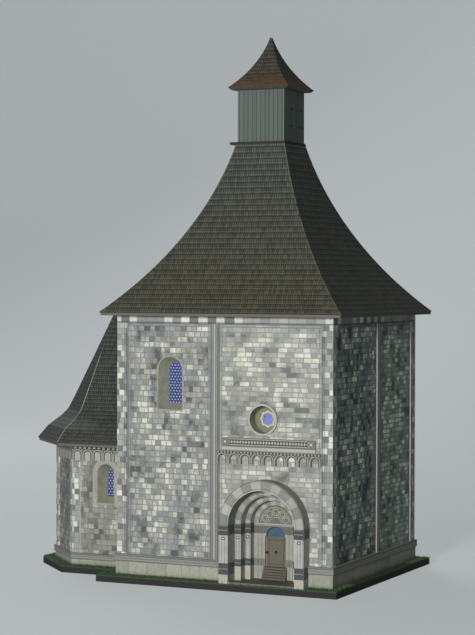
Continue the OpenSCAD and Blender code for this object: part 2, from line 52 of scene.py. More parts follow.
class Flow:
    """One output socket; operators between flows and numbers add their Math nodes."""

    def __init__(self, wires, socket):
        self.wires = wires
        self.socket = socket

    def math(self, operation, *others):
        return self.wires.math(operation, self, *others)

    def __add__(self, other):
        return self.math("ADD", other)

    __radd__ = __add__

    def __sub__(self, other):
        return self.math("SUBTRACT", other)

    def __rsub__(self, other):
        return self.wires.math("SUBTRACT", other, self)

    def __mul__(self, other):
        return self.math("MULTIPLY", other)

    __rmul__ = __mul__

    def __truediv__(self, other):
        return self.math("DIVIDE", other)

    def __rtruediv__(self, other):
        return self.wires.math("DIVIDE", other, self)

    def __gt__(self, other):
        return self.math("GREATER_THAN", other)

    def __lt__(self, other):
        return self.math("LESS_THAN", other)

    def __abs__(self):
        return self.math("ABSOLUTE")

    def __mod__(self, other):
        return self.math("FLOORED_MODULO", other)

    def floor(self):
        return self.math("FLOOR")

    def between(self, start, end):
        return (self > start) * (self < end)

    def least(self, other):
        return self.math("MINIMUM", other)

    def most(self, other):
        return self.math("MAXIMUM", other)

    def near(self, place, width):
        """1 on a line at this value, falling softly to 0 at width away from it."""
        return (1 - abs(self - place) / width).most(0)


class Wires:
    """A node tree, emptied. Every node comes from its node method: a type, the settings, which
    are set first, the values or flows for its inputs, and the output that is handed back."""

    def __init__(self, tree):
        self.tree = tree
        tree.nodes.clear()

    def node(self, kind, settings=None, inputs=None, out=0):
        made = self.tree.nodes.new(kind)
        for key, value in (settings or {}).items():
            if key == "stops":
                self.set_stops(made.color_ramp, value)
            elif key == "steps":
                made.color_ramp.interpolation = value
            else:
                setattr(made, key, value)
        for key, value in (inputs or {}).items():
            if isinstance(value, Flow):
                self.tree.links.new(value.socket, made.inputs[key])
            else:
                made.inputs[key].default_value = value
        return Flow(self, made.outputs[out]) if made.outputs else None

    def set_stops(self, ramp, stops):
        while len(ramp.elements) < len(stops):
            ramp.elements.new(0.5)
        for element, (position, colour) in zip(ramp.elements, stops):
            element.position = position
            element.color = colour

    def math(self, operation, *values):
        return self.node("ShaderNodeMath", {"operation": operation}, dict(enumerate(values)))

    def mix(self, share, first, second, blend="MIX"):
        kind = {"data_type": "RGBA", "blend_type": blend}
        return self.node("ShaderNodeMix", kind, {0: share, 6: first, 7: second}, 2)

    def vector(self, *parts):
        return self.node("ShaderNodeCombineXYZ", None, dict(enumerate(parts)))


class Finish(Wires):
    """A node material. Lengths inside it are millimetres, with the height above the mat."""

    def __init__(self, name):
        self.material = bpy.data.materials.new(name)
        self.material.use_nodes = True
        super().__init__(self.material.node_tree)
        place = self.node("ShaderNodeTexCoord", out="Object")
        apart = {"Vector": place}
        self.place = place
        self.x = self.node("ShaderNodeSeparateXYZ", None, apart, "X") / MM
        self.y = self.node("ShaderNodeSeparateXYZ", None, apart, "Y") / MM
        self.z = self.node("ShaderNodeSeparateXYZ", None, apart, "Z") / MM - GROUND
        facing = {"Vector": self.node("ShaderNodeNewGeometry", out="True Normal")}
        self.nx = self.node("ShaderNodeSeparateXYZ", None, facing, "X")
        self.ny = self.node("ShaderNodeSeparateXYZ", None, facing, "Y")
        self.nz = self.node("ShaderNodeSeparateXYZ", None, facing, "Z")
        level = (self.nx * self.nx + self.ny * self.ny).math("SQRT").most(0.001)
        self.u = (self.nx * self.y - self.ny * self.x) / level

    def chance(self, *cell):
        """A random number from 0 to 1 for each whole-numbered cell."""
        kind = {"noise_dimensions": "3D"}
        return self.node("ShaderNodeTexWhiteNoise", kind, {"Vector": self.vector(*cell)})

    def cloud(self, size, detail=3.0, across=None):
        """Soft noise from 0 to 1 with blotches about size millimetres wide."""
        scale = 1 / size if across else 1 / (size * MM)
        inputs = {"Vector": across or self.place, "Scale": scale, "Detail": detail}
        return self.node("ShaderNodeTexNoise", None, inputs, "Fac")

    def ramp(self, value, stops, steps="LINEAR"):
        return self.node("ShaderNodeValToRGB", {"steps": steps, "stops": stops}, {"Fac": value}, "Color")

    def radius(self, across, up):
        return (across * across + up * up).math("SQRT")

    def finished(self, colour, rough=0.62, height=None, depth=0.02, fibre=0.05):
        """Card under ink: faint paper mottling over the colour, fine tooth in the surface."""
        mottle = self.cloud(0.35, 2.0) * fibre * 2 + (1 - fibre)
        grain = self.vector(mottle, mottle, mottle)
        colour = self.mix(1.0, colour, grain, "MULTIPLY")
        tooth = self.cloud(0.12, 2.0)
        relief = tooth * 0.25 if height is None else height + tooth * 0.25
        raised = {"Strength": 0.35, "Distance": depth * MM, "Height": relief}
        bump = self.node("ShaderNodeBump", None, raised, "Normal")
        sheen = self.cloud(2.5) * 0.16 + (rough - 0.08)
        surface = self.node("ShaderNodeBsdfPrincipled", None, {
            "Base Color": colour, "Roughness": sheen, "Normal": bump, "Specular IOR Level": 0.3})
        self.node("ShaderNodeOutputMaterial", None, {"Surface": surface})
        return self.material


# Ink colours of the printed sheets
LINE_GREY = tone(92, 95, 93)
JOINT_GREY = tone(84, 88, 86)
CUT_CARD = tone(205, 205, 200)
STONE_STOPS = [
    (0.0, tone(84, 87, 86)), (0.13, tone(112, 115, 114)), (0.28, tone(137, 139, 139)),
    (0.46, tone(155, 156, 154)), (0.6, tone(170, 171, 165)), (0.71, tone(195, 197, 188)),
    (0.84, tone(213, 215, 205)),
]


def coursed(f, across, up, length, course, seed, jitter=0.42):
    """Courses of stones: rows are shifted at random and each end joint strays by a random
    share of a stone. Returns the stone's number in its row, the row, and the joint's distance."""
    row = (up / course).floor()
    along = across / length + f.chance(row, seed, 0.5) * 7.3
    cell = along.floor()
    part = along - cell
    start = f.chance(cell, row, seed) * jitter
    end = f.chance(cell + 1, row, seed) * jitter + 1
    stone = cell - (part < start)
    ends = abs(part - start).least(end - part) * length
    level = up / course - row
    beds = level.least(1 - level) * course
    return stone, row, ends.least(beds)


def stone_colour(f, stone, row, joint, seed, gather=1.25, joint_w=0.26):
    """Each stone takes a random tone, and the pale ones gather where a wide noise is high."""
    pick = f.chance(stone, row, seed + 0.3) * 0.62 + (f.cloud(6.0, 1.5) - 0.5) * gather + 0.19
    colour = f.ramp(pick, STONE_STOPS, "CONSTANT")
    tint = f.chance(stone, row, seed + 0.7)
    colour = f.mix((tint > 0.93) * 0.3, colour, tone(182, 179, 150))
    colour = f.mix((tint < 0.12) * 0.35, colour, tone(140, 146, 152))
    blot = f.cloud(1.1)
    colour = f.mix((blot - 0.35).most(0) * 0.5, colour, tone(120, 122, 119))
    outlined = (pick - 0.2).most(0.2).least(0.5) * 1.7
    return f.mix((1 - joint / joint_w).most(0) * outlined, colour, JOINT_GREY)


def wall_stone(name, split, yellow=0.0, shade=0.0, window=None, shade_gamma=1.0, panel=None):
    """Printed rubble: squarish stones on one side of the middle strip, longer ones beyond. A
    window given as its middle, half width, sill and springing gets a pale lined arch round it.
    A panel given as its outer edge, its middle strip's place and half width, and the foot of
    the top band gets a border. The exponent given for the walls that face the sides deepens
    their print, and a teal multiply after it paints the blue-green colour of their shade. The
    share named shade mixes a painted teal-grey shade over the print."""
    f = Finish(name)
    beyond = f.u > split
    stone, row, joint = coursed(f, f.u, f.z, beyond * 0.95 + 2.0, beyond * -0.22 + 1.86, 3.0)
    colour = stone_colour(f, stone, row, joint, 3.0)
    colour = f.mix(beyond * 0.1, colour, tone(225, 226, 214))
    colour = f.mix(yellow, colour, tone(150, 146, 112))
    if panel is not None:
        inner, mid, mid_half, band_foot = panel
        edge = (inner - abs(f.u)).least(abs(f.u - mid) - mid_half).least(band_foot - f.z)
        colour = f.mix((edge < 1.05) * 0.6, colour, tone(142, 144, 147))
        lines = edge.near(0.15, 0.32).most(edge.near(1.05, 0.26) * 0.7)
        colour = f.mix(lines * 0.8, colour, tone(80, 83, 86))
    if window is not None:
        middle, half, sill, spring = window
        away = arch_ink(f, f.x - middle, f.z, half, spring)
        band = away.between(0.0, 2.0) * (f.z > sill - 1.2)
        colour = f.mix(band * 0.75, colour, tone(176, 177, 166))
        lines = away.near(2.0, 0.2) + away.near(0.9, 0.16) * 0.7 + away.near(0.25, 0.2)
        colour = f.mix(lines.least(1) * (f.z > sill - 1.2) * 0.6, colour, tone(78, 80, 76))
    colour = f.mix(shade, colour, tone(44, 62, 64))
    # Painted shade: on the walls that face the sides the gamma deepens the print and the teal multiply tints
    # it with the colour of their shade.
    colour = f.node("ShaderNodeGamma", None, {"Color": colour, "Gamma": shade_gamma})
    if shade_gamma > 1:
        colour = f.mix(1.0, colour, (1.5, 1.66, 1.66, 1), "MULTIPLY")
    return f.finished(colour, height=(joint < 0.12) * -1.0)


def frame_strips(name, half, corner, mid, mid_half, band, cut_axis):
    """Folded strips: alternating quoins at the corners, a lined strip in the middle, a band of
    long blocks at the top, and white card wherever a face is a cut edge."""
    f = Finish(name)
    side = half - abs(f.u)
    top = f.z > band
    stone, row, joint = coursed(f, f.u, f.z - band * top, top * 1.3 + 2.0, top * 0.62 + 1.92, 11.0, 0.15)
    turn = (stone + row) % 2
    pick = turn * 0.3 + f.chance(stone, row, 4.0) * 0.5 + 0.14
    colour = f.ramp(pick, STONE_STOPS, "CONSTANT")
    colour = f.mix((1 - joint / 0.2).most(0) * 0.5, colour, LINE_GREY)
    lined = f.mix(f.cloud(3.0), tone(138, 140, 142), tone(158, 158, 154))
    middle = abs(f.u - mid) < mid_half + 0.1
    colour = f.mix(middle * (1 - top), colour, lined)
    away = abs(f.u - mid)
    lines = away.near(mid_half - 0.3, 0.42) + away.near(mid_half - 1.05, 0.34) * 0.8
    colour = f.mix(away.near(0.0, 0.3) * middle * (1 - top) * 0.7, colour, tone(196, 197, 192))
    inner = side.near(corner - 0.3, 0.34) + side.near(corner - 1.0, 0.26) * 0.7
    bed = f.z.near(band + 0.25, 0.34)
    ink = (lines * middle * (1 - top) + inner * (1 - top) + bed).least(1)
    colour = f.mix(ink * 0.9, colour, tone(62, 65, 70))
    normal = f.nx if cut_axis == "x" else f.ny
    colour = f.mix(abs(normal) < 0.5, colour, CUT_CARD if cut_axis == "y" else tone(160, 162, 158))
    return f.finished(colour)


def plinth_print(name, top):
    """Long cream ashlars with soft dark joints, darker and greener in patches towards the foot."""
    f = Finish(name)
    stone, row, joint = coursed(f, f.u, f.z, 6.8, 40.0, 5.0, 0.2)
    colour = f.mix(f.chance(stone, row, 2.0), tone(160, 163, 150), tone(186, 187, 172))
    colour = f.mix(f.cloud(2.2) * 0.7, colour, tone(120, 124, 114))
    colour = f.mix((f.cloud(0.9) - 0.5).most(0) * 1.6, colour, tone(92, 97, 88))
    foot = (1 - f.z / 1.3).most(0)
    colour = f.mix(foot * f.cloud(1.0) * 0.9, colour, tone(84, 92, 78))
    colour = f.mix(joint.near(0.0, 0.3) * 0.5, colour, tone(108, 110, 104))
    colour = f.mix(f.z.near(top - 0.15, 0.25) * 0.55, colour, tone(84, 86, 82))
    colour = f.mix(f.nz > 0.5, colour, CUT_CARD)
    return f.finished(colour)


def moulding_print(name, foot, height):
    """A printed moulding: level dark and light lines from foot to top."""
    f = Finish(name)
    share = (f.z - foot) / height + (f.cloud(1.5) - 0.5) * 0.04
    stops = [
        (0.0, tone(70, 72, 70)), (0.1, tone(128, 130, 126)), (0.22, tone(160, 161, 156)),
        (0.36, tone(118, 120, 118)), (0.5, tone(140, 142, 138)), (0.64, tone(150, 151, 147)),
        (0.74, tone(72, 75, 74)), (0.84, tone(132, 134, 130)), (1.0, tone(98, 100, 98)),
    ]
    colour = f.ramp(share, stops)
    colour = f.mix(f.cloud(4.0) * 0.4, colour, tone(104, 108, 106))
    colour = f.mix(f.nz > 0.5, colour, tone(150, 152, 148))
    return f.finished(colour)


def reveal_print():
    """Plastered reveals: olive-grey, clouded, with darker patches."""
    f = Finish("reveal_print")
    colour = f.mix(f.cloud(2.6), tone(122, 124, 108), tone(176, 177, 162))
    colour = f.mix((f.nz > 0.3) * 0.35, colour, tone(150, 152, 138))
    colour = f.mix((f.cloud(0.8) - 0.45).most(0), colour, tone(96, 98, 88))
    return f.finished(colour)


def glazing_print():
    """Leaded glass: navy lattice with staggered rows of pale lilac panes."""
    f = Finish("glazing_print")
    row = (f.z / 0.98).floor()
    across = f.u / 1.12 + (row % 2) * 0.5
    place = across - across.floor() - 0.5
    level = f.z / 0.98 - row - 0.5
    away = f.radius(place * 1.12, level * 0.98)
    pane = (1 - (away - 0.17) / 0.15).least(1).most(0)
    lead = f.mix(f.cloud(1.4), tone(38, 46, 92), tone(58, 70, 122))
    colour = f.mix(pane, lead, f.mix(f.cloud(3.0), tone(142, 156, 204), tone(186, 194, 222)))
    ribs = abs(place).near(0.5, 0.16) * 0.5
    colour = f.mix(ribs, colour, tone(86, 96, 160))
    return f.finished(colour, rough=0.4)


def oculus_print(name, centre_x, centre_z, kind):
    """Rings about the round window's middle, inked by their distance from it. On the tracery
    the inked edge comes in by half a millimetre between the rosette's eight lobes."""
    f = Finish(name)
    across = f.x - centre_x
    up = f.z - centre_z
    away = f.radius(across, up)
    if kind == "ring":
        stops = [(0.0, tone(112, 114, 108)), (0.18, tone(186, 186, 176)), (0.45, tone(190, 190, 181)),
                 (0.62, tone(128, 130, 124)), (0.78, tone(190, 190, 180)), (1.0, tone(92, 94, 90))]
        colour = f.ramp((away - 4.6) / 0.8, stops)
        colour = f.mix(f.cloud(1.2) * 0.4, colour, tone(150, 152, 146))
        colour = f.mix(f.ny > -0.5, colour, tone(150, 151, 146))
        return f.finished(colour)
    turn = across.math("ARCTAN2", up) / (TAU / 8)
    lobe = abs(turn - (turn + 0.5).floor()) * 2
    edge = 2.75 - lobe * 0.5
    stone = f.mix(f.cloud(1.5), tone(110, 112, 92), tone(138, 139, 118))
    colour = f.mix(away < edge + 0.35, stone, tone(192, 191, 170))
    colour = f.mix(away.near(edge + 0.4, 0.26) * 0.85, colour, tone(64, 66, 58))
    colour = f.mix(away.near(edge - 0.45, 0.16) * 0.7, colour, tone(74, 76, 66))
    colour = f.mix(away.near(4.1, 0.25) * 0.5, colour, tone(84, 86, 74))
    return f.finished(colour)


def rose_glass():
    """The rosette's panes: blue-violet with darker leads."""
    f = Finish("rose_glass")
    colour = f.mix(f.cloud(1.0), tone(92, 104, 190), tone(140, 150, 214))
    colour = f.mix((f.cloud(0.5) > 0.62) * 0.6, colour, tone(60, 64, 130))
    return f.finished(colour, rough=0.4)


def string_print(left, width, foot, sill, height):
    """The carved string course: a cream band, then a dark band of light beads between two
    fillets, and a square rosette on the block at each end."""
    f = Finish("string_print")
    up = f.z - foot
    block = height - sill
    edge = (f.x - left).least(left + width - f.x)
    base = f.mix(f.cloud(2.0), tone(158, 159, 150), tone(186, 186, 174))
    cream = f.mix(up.near(sill - 0.2, 0.25) + up.near(0.2, 0.3) * 0.7, base, tone(70, 72, 68))
    bead = ((f.x - left) / 1.06) % 1 - 0.5
    level = up - sill - block / 2
    jewel = f.radius(bead * 1.06, level)
    spark = (jewel < 0.34) + jewel.near(0.34, 0.12)
    spark = spark.most((abs(bead) < 0.05) * (abs(level) < 0.65)).least(1)
    band = f.mix(spark * 0.75, tone(58, 60, 58), tone(196, 196, 184))
    fillets = abs(level).near(block / 2 - 0.35, 0.28)
    band = f.mix(fillets, band, tone(178, 178, 168))
    rose_across = edge - block / 2
    rose = f.radius(rose_across, level)
    square = abs(rose_across).most(abs(level))
    knot = f.mix(rose.near(0.75, 0.22).least(1), tone(150, 151, 142), tone(54, 56, 52))
    knot = f.mix(square.near(block / 2 - 0.25, 0.2), knot, tone(60, 62, 58))
    knot = f.mix((rose < 0.3) * 0.8, knot, tone(214, 214, 204))
    band = f.mix(edge < block, band, knot)
    colour = f.mix(up > sill, cream, band)
    colour = f.mix(abs(f.ny) < 0.5, colour, tone(150, 151, 146))
    return f.finished(colour)


def arch_ink(f, across, up, half, spring):
    """Distance from a round-headed opening: from its jambs below the springing and from its
    circle above."""
    above = up > spring
    jamb = abs(across) - half
    head = f.radius(across, up - spring) - half
    return jamb + above * (head - jamb)


# The nave frieze's pearls: how far apart they stand, and their middle's depth below its top
PEARL_PITCH = 1.22
PEARL_DROP = 0.42


def frieze_print(name, left, width, arches, foot, height, round_apse=False):
    """The arched frieze: outlined arches over corbels, with a row of pearls along the top."""
    f = Finish(name)
    along = f.u if round_apse else f.x - left
    pitch = width / arches
    place = ((along / pitch) % 1 - 0.5) * pitch
    top = foot + height
    away = arch_ink(f, place, f.z, pitch * 0.3, top - height * 0.62)
    stone = f.mix(f.cloud(1.6), tone(122, 124, 119), tone(150, 151, 145))
    inside = f.mix(f.cloud(1.2), tone(150, 151, 144), tone(178, 178, 168))
    stone = f.mix(away < 0, stone, inside) if round_apse else stone
    ink = away.near(0.14, 0.34) + away.near(0.95, 0.26) * 0.95
    stone = f.mix(ink.least(1), stone, tone(46, 48, 46))
    stone = f.mix(away.near(0.52, 0.2) * 0.4, stone, tone(188, 188, 178))
    stone = f.mix(f.z.near(foot + 0.15, 0.3) * (away > 0.9) * 0.85, stone, tone(50, 52, 50))
    pearl_pitch = 1.9 if round_apse else PEARL_PITCH
    pearl_row = 0.75 if round_apse else PEARL_DROP
    pearl = ((along / pearl_pitch) % 1 - 0.5) * pearl_pitch
    level = f.z - (top - pearl_row)
    if round_apse:
        dot = (abs(pearl) < 0.5) * (abs(level) < 0.45)
    else:
        dot = (1 - (f.radius(pearl, level) - 0.24) / 0.12).least(1).most(0)
    strip = f.mix(dot, tone(64, 68, 66), tone(206, 206, 194))
    colour = f.mix(f.z > top - 2 * pearl_row, stone, strip)
    colour = f.mix(abs(f.nz) > 0.5, colour, tone(150, 151, 146))
    if not round_apse:
        colour = f.mix(f.ny > -0.5, colour, tone(168, 168, 162))
    return f.finished(colour)


PORTAL_LOW, PORTAL_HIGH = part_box("portal_arch")
PORTAL_X = (PORTAL_LOW.x + PORTAL_HIGH.x) / 2 / MM
PORTAL_R = (PORTAL_HIGH.x - PORTAL_LOW.x) / 2 / MM
SPRING = PORTAL_LOW.z / MM - GROUND
# Inner radii of the ring and of the two orders behind it
RING_IN = PORTAL_R - 3.35
OUTER_ORDER_IN = 9.8
INNER_ORDER_IN = 7.85
# Printed bands on the piers and on the jambs: impost foot and top, base foot and top
PIER_BANDS = (16.2, 19.5, 3.0, 6.8)
JAMB_BANDS = (16.0, 19.4, 5.2, 7.6)
# The door's foot and its height to the springing, the paving's top, and the steps up from it
DOOR_SILL = 4.9
DOOR_H = 10.0
PAVING = 0.6
STEPS = 5
# Tympanum's edge, lintel's foot and its two ink lines
TYMPANUM_R = 6.0
LINTEL_FOOT = 18.6
LINTEL_LINES = (18.9, 19.45)


def voussoir_tone(f, across, up, seed, phase=0.0):
    """Wedge stones of fifteen degrees each, alternately pale and grey, with fine joints."""
    turn = up.math("ARCTAN2", across) / math.radians(15.0) + phase
    wedge = turn.floor()
    part = turn - wedge
    pale = f.mix(f.chance(wedge, seed, 1.0), tone(160, 162, 154), tone(184, 185, 176))
    grey = f.mix(f.chance(wedge, seed, 2.0), tone(122, 125, 122), tone(144, 146, 142))
    colour = f.mix(wedge % 2, pale, grey)
    joint = part.least(1 - part)
    colour = f.mix(f.cloud(1.4) * 0.5, colour, tone(140, 142, 137))
    return f.mix(joint.near(0, 0.05) * 0.5, colour, tone(84, 86, 84))


def portal_stone(name, inner, outer, seed, phase, impost_low, impost_high, base_low, base_high):
    """One order of the portal. Arch: wedge stones between two ink lines. Jambs: a dark impost,
    a pale shaft with thin upright lines, a dark base and a pale pedestal."""
    f = Finish(name)
    across = f.x - PORTAL_X
    up = f.z - SPRING
    away = f.radius(across, up)
    arch = voussoir_tone(f, across, up, seed, phase)
    rims = away.near(outer - 0.12, 0.22) + away.near(outer - 0.75, 0.14) * 0.5
    rims = rims + away.near(inner + 0.3, 0.18) * 0.8
    arch = f.mix(rims.least(1) * 0.85, arch, tone(52, 54, 52))
    side = abs(across)
    shaft = f.mix(f.cloud(2.4), tone(150, 150, 152), tone(188, 188, 186))
    middle = (inner + outer) / 2
    stripes = side.near(middle - 0.55, 0.14) + side.near(middle + 0.55, 0.14) + side.near(outer - 0.2, 0.16)
    shaft = f.mix(stripes.least(1) * 0.8, shaft, tone(66, 68, 76))
    capital = f.radius(side - middle, f.z - impost_low + 1.1)
    shaft = f.mix((capital < 0.62) * 0.85, shaft, tone(46, 48, 52))
    shaft = f.mix(capital < 0.26, shaft, tone(220, 220, 214))
    impost = f.mix(f.z.near((impost_low + impost_high) / 2, 0.25), tone(70, 74, 76), tone(140, 142, 140))
    impost = f.mix(f.z.near(impost_high - 0.25, 0.25), impost, tone(120, 122, 120))
    base = f.mix(f.z.near((base_low + base_high) / 2, 0.3), tone(72, 79, 80), tone(128, 132, 132))
    pedestal = f.mix(f.cloud(1.5), tone(160, 161, 150), tone(184, 184, 172))
    jamb = f.mix(f.z > base_low, pedestal, base)
    jamb = f.mix(f.z > base_high, jamb, shaft)
    jamb = f.mix(f.z > impost_low, jamb, impost)
    colour = f.mix(up > 0, jamb, arch)
    turned = f.ny > -0.5
    reveal = f.mix(f.cloud(1.8), tone(146, 148, 141), tone(180, 180, 172))
    reveal = f.mix(f.z.between(base_low, base_high) * (up < 0) * 0.75, reveal, tone(66, 70, 70))
    reveal = f.mix(f.z.between(impost_low, impost_high) * 0.8, reveal, tone(62, 66, 68))
    reveal = f.mix(turned * f.y.near(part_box("portal_arch")[0].y / MM + 0.2, 0.5), reveal, CUT_CARD)
    colour = f.mix(turned, colour, reveal)
    return f.finished(colour)


def ring_voussoirs(front_y):
    """The proud ring: wedge stones in front, a white cut edge, and clouded grey on its back."""
    f = Finish("ring_voussoirs")
    across = f.x - PORTAL_X
    up = f.z - SPRING
    away = f.radius(across, up)
    arch = voussoir_tone(f, across, up, 9.0)
    rims = away.near(PORTAL_R - 0.2, 0.2) + away.near(RING_IN + 0.55, 0.16) * 0.8
    arch = f.mix(rims.least(1) * 0.8, arch, tone(58, 60, 58))
    arch = f.mix(away.near(RING_IN + 0.03, 0.16) * 0.9, arch, CUT_CARD)
    reveal = f.mix(f.cloud(1.8), tone(122, 124, 116), tone(152, 153, 145))
    reveal = f.mix(f.y.near(front_y + 0.1, 0.45), reveal, CUT_CARD)
    colour = f.mix(f.ny > -0.5, arch, reveal)
    return f.finished(colour)


def door_wall_print():
    """The wall behind the orders: a printed ring, a carved tympanum and a lintel over the
    door's jambs."""
    f = Finish("door_wall_print")
    across = f.x - PORTAL_X
    up = f.z - SPRING
    away = f.radius(across, up)
    ring = voussoir_tone(f, across, up, 31.0)
    ring = f.mix(away.near(TYMPANUM_R, 0.22), ring, tone(60, 62, 58))
    field = f.mix(f.cloud(1.0), tone(92, 94, 84), tone(118, 120, 108))
    arch = f.mix(away < TYMPANUM_R - 0.1, ring, field)
    lintel = f.mix(f.cloud(2.0), tone(164, 165, 156), tone(188, 188, 178))
    lines = f.z.near(LINTEL_LINES[0], 0.2) + f.z.near(LINTEL_LINES[1], 0.2) * 0.8
    lintel = f.mix(lines, lintel, tone(64, 66, 62))
    jamb = f.mix(f.cloud(1.6), tone(140, 141, 134), tone(170, 170, 162))
    jamb = f.mix(f.z.between(15.9, LINTEL_FOOT) * 0.75, jamb, tone(72, 76, 78))
    jamb = f.mix(f.z.between(5.0, 7.4) * 0.6, jamb, tone(80, 86, 92))
    side = abs(across)
    jamb = f.mix(side.near(5.0, 0.16) + side.near(6.4, 0.16), jamb, tone(76, 78, 80))
    lower = f.mix(f.z > LINTEL_FOOT, jamb, lintel)
    colour = f.mix(up > 0, lower, arch)
    colour = f.mix(f.ny > -0.5, colour, tone(120, 121, 112))
    return f.finished(colour)


def door_print():
    """Framed planks: brown boards with dark lines round the panel and a pale line outside."""
    f = Finish("door_print")
    across = f.x - PORTAL_X
    level = f.z - DOOR_SILL
    grain = f.cloud(0.6, 3.0, f.vector(f.x * 3, f.y, f.z * 0.35))
    colour = f.mix(grain, tone(84, 81, 72), tone(114, 111, 100))
    stiles = abs(across).near(2.75, 0.18)
    rails = level.near(0.8, 0.18) + level.near(8.9, 0.18)
    rails = rails * (abs(across) < 2.8)
    colour = f.mix((stiles + rails).least(1) * 0.8, colour, tone(46, 42, 34))
    colour = f.mix(abs(across).near(3.6, 0.2) * 0.6, colour, tone(150, 146, 132))
    return f.finished(colour)


def fanlight_print():
    """The fanlight: blue panes between radiating bars."""
    f = Finish("fanlight_print")
    across = f.x - PORTAL_X
    up = f.z - DOOR_SILL - DOOR_H
    away = f.radius(across, up)
    colour = f.mix(f.cloud(1.2), tone(54, 78, 98), tone(84, 108, 126))
    fan = up.math("ARCTAN2", across) / math.radians(30.0)
    bars = abs(fan - (fan + 0.5).floor()) * away
    colour = f.mix(bars.near(0.0, 0.16) * 0.6, colour, tone(34, 52, 70))
    colour = f.mix(away.near(3.3, 0.3) + away.near(1.1, 0.2) * 0.7, colour, tone(40, 58, 76))
    return f.finished(colour, rough=0.4)


def steps_print():
    """Paving and steps: olive-brown, with a dark band just under each tread's edge."""
    f = Finish("steps_print")
    colour = f.mix(f.cloud(1.6), tone(84, 80, 71), tone(110, 105, 94))
    rise = (DOOR_SILL - PAVING) / STEPS
    part = ((f.z - PAVING) / rise) % 1
    colour = f.mix((part > 0.6) * (f.z > 0.7) * 0.75, colour, tone(56, 48, 36))
    colour = f.mix((f.nz > 0.5) * (f.z > 0.9) * 0.5, colour, tone(140, 134, 116))
    edge = f.y.near(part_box("portal_steps")[0].y / MM + 0.4, 0.5)
    colour = f.mix(edge * 0.8, colour, tone(176, 176, 164))
    return f.finished(colour)


def shingle_print(
        name, foot, rise, low_angle, high_angle, course, width, greyer, browner, fade, hip=None):
    """Shingles in courses along the slope. The slope's angle at a height is found from the
    share of the rise, so the courses keep an even depth along the curve. Each shingle is a
    slanting dash with a dark gap beside it and a dark line under the course."""
    f = Finish(name)
    start, end = math.cos(low_angle), math.cos(high_angle)
    share = ((f.z - foot) / rise).most(0).least(1)
    angle = (start - share * (start - end)).math("ARCCOSINE")
    reach = rise / (start - end)
    along = (angle - low_angle) * reach
    row = (along / course).floor()
    level = along / course - row
    across = f.u / width + f.chance(row, 2.0, 5.0) * 9.0 + level * 0.32
    shingle = across.floor()
    part = across - shingle
    pick = f.chance(shingle, row, 7.0)
    wash = f.cloud(22.0, 2.0)
    fall = share + (wash - 0.5) * 0.5
    dark = f.mix(fall, tone(*(int(c * 0.88) for c in browner)), tone(*(int(c * 0.88) for c in greyer)))
    pale = f.mix(fall, tone(*(int(c * 1.24) for c in browner)), tone(*(int(c * 1.24) for c in greyer)))
    colour = f.mix(pick, dark, pale)
    gap = part.least(1 - part).near(0.0, 0.27)
    under = level.near(0.0, 0.2) + level.near(1.0, 0.12)
    colour = f.mix(gap * 0.85, colour, tone(24, 24, 22))
    colour = f.mix(under.least(1) * 0.7, colour, tone(22, 22, 20))
    colour = f.mix(level.near(0.32, 0.18) * 0.25, colour, tone(128, 128, 118))
    if fade is not None:
        rust = (1 - share / 0.3).most(0) * f.cloud(3.0)
        colour = f.mix(rust, colour, tone(*fade))
    if hip is not None:
        out_x, out_y, cap = hip
        long_way = (abs(f.x) - cap) / (out_x - cap)
        short_way = (abs(f.y) - cap) / (out_y - cap)
        off = abs(long_way - short_way) * (out_x - cap)
        colour = f.mix((off < 0.34) * 0.4 * (f.cloud(2.0) > 0.42), colour, tone(128, 124, 114))
    colour = f.mix(f.nz < -0.2, colour, tone(72, 72, 68))
    return f.finished(colour, height=level * 0.7 - gap * 0.5, depth=0.06, fibre=0.1)


def boarding_print(half):
    """Upright boards with dark joints, clouded grey-green, white where the card is folded."""
    f = Finish("boarding_print")
    board_w = 1.62
    across = f.u / board_w
    board = across.floor()
    part = across - board
    streak = f.cloud(0.5, 2.0, f.vector(f.u * 4, f.nx, f.z * 0.4))
    colour = f.mix(f.chance(board, f.nx.floor(), 3.0), tone(72, 82, 79), tone(96, 106, 102))
    colour = f.mix(streak * 0.7, colour, tone(90, 99, 94))
    colour = f.mix(part.least(1 - part).near(0.0, 0.15) * 0.95, colour, tone(34, 38, 38))
    fold = abs(f.u).near(half, 0.22) * (f.nx - f.ny).most(0).least(1)
    colour = f.mix(fold * 0.55, colour, tone(166, 172, 168))
    colour = f.mix(f.cloud(6.0) * 0.35, colour, tone(84, 92, 92))
    return f.finished(colour)


def soffit_print():
    """The underside of the eaves: dark grey board, lighter along its edge."""
    f = Finish("soffit_print")
    colour = f.mix(f.cloud(3.0), tone(58, 60, 57), tone(84, 86, 82))
    colour = f.mix((abs(f.nz) < 0.5) * 0.6, colour, tone(112, 110, 100))
    return f.finished(colour)


def black_board():
    """Black mounting board: clouded black faces and a fibrous cut edge."""
    f = Finish("black_board")
    colour = f.mix(f.cloud(2.0), tone(22, 23, 23), tone(40, 41, 41))
    plies = f.cloud(0.3, 2.0, f.vector(f.x * 0.2, f.y * 0.2, f.z * 4))
    colour = f.mix((abs(f.nz) < 0.5) * plies * 0.5, colour, tone(62, 63, 62))
    return f.finished(colour, rough=0.75, height=plies, depth=0.04)


def turf_green(name, lift):
    """Flock: dark green with paler and browner fibres."""
    f = Finish(name)
    colour = f.mix(f.cloud(0.5), tone(44, 66, 46), tone(int(84 * lift), int(108 * lift), int(74 * lift)))
    colour = f.mix((f.cloud(3.0) - 0.45).most(0), colour, tone(96, 100, 76))
    return f.finished(colour, rough=0.9, height=f.cloud(0.3), depth=0.25, fibre=0.2)


def peg_black():
    """Stubs of black wire, slightly glossy."""
    f = Finish("peg_black")
    colour = f.mix(f.cloud(0.3), tone(12, 12, 12), tone(30, 30, 32))
    return f.finished(colour, rough=0.45)


def carved_pale():
    """Carving: pale grey-cream, rubbed darker in patches."""
    f = Finish("carved_pale")
    colour = f.mix(f.cloud(0.7), tone(144, 146, 136), tone(182, 182, 170))
    return f.finished(colour)


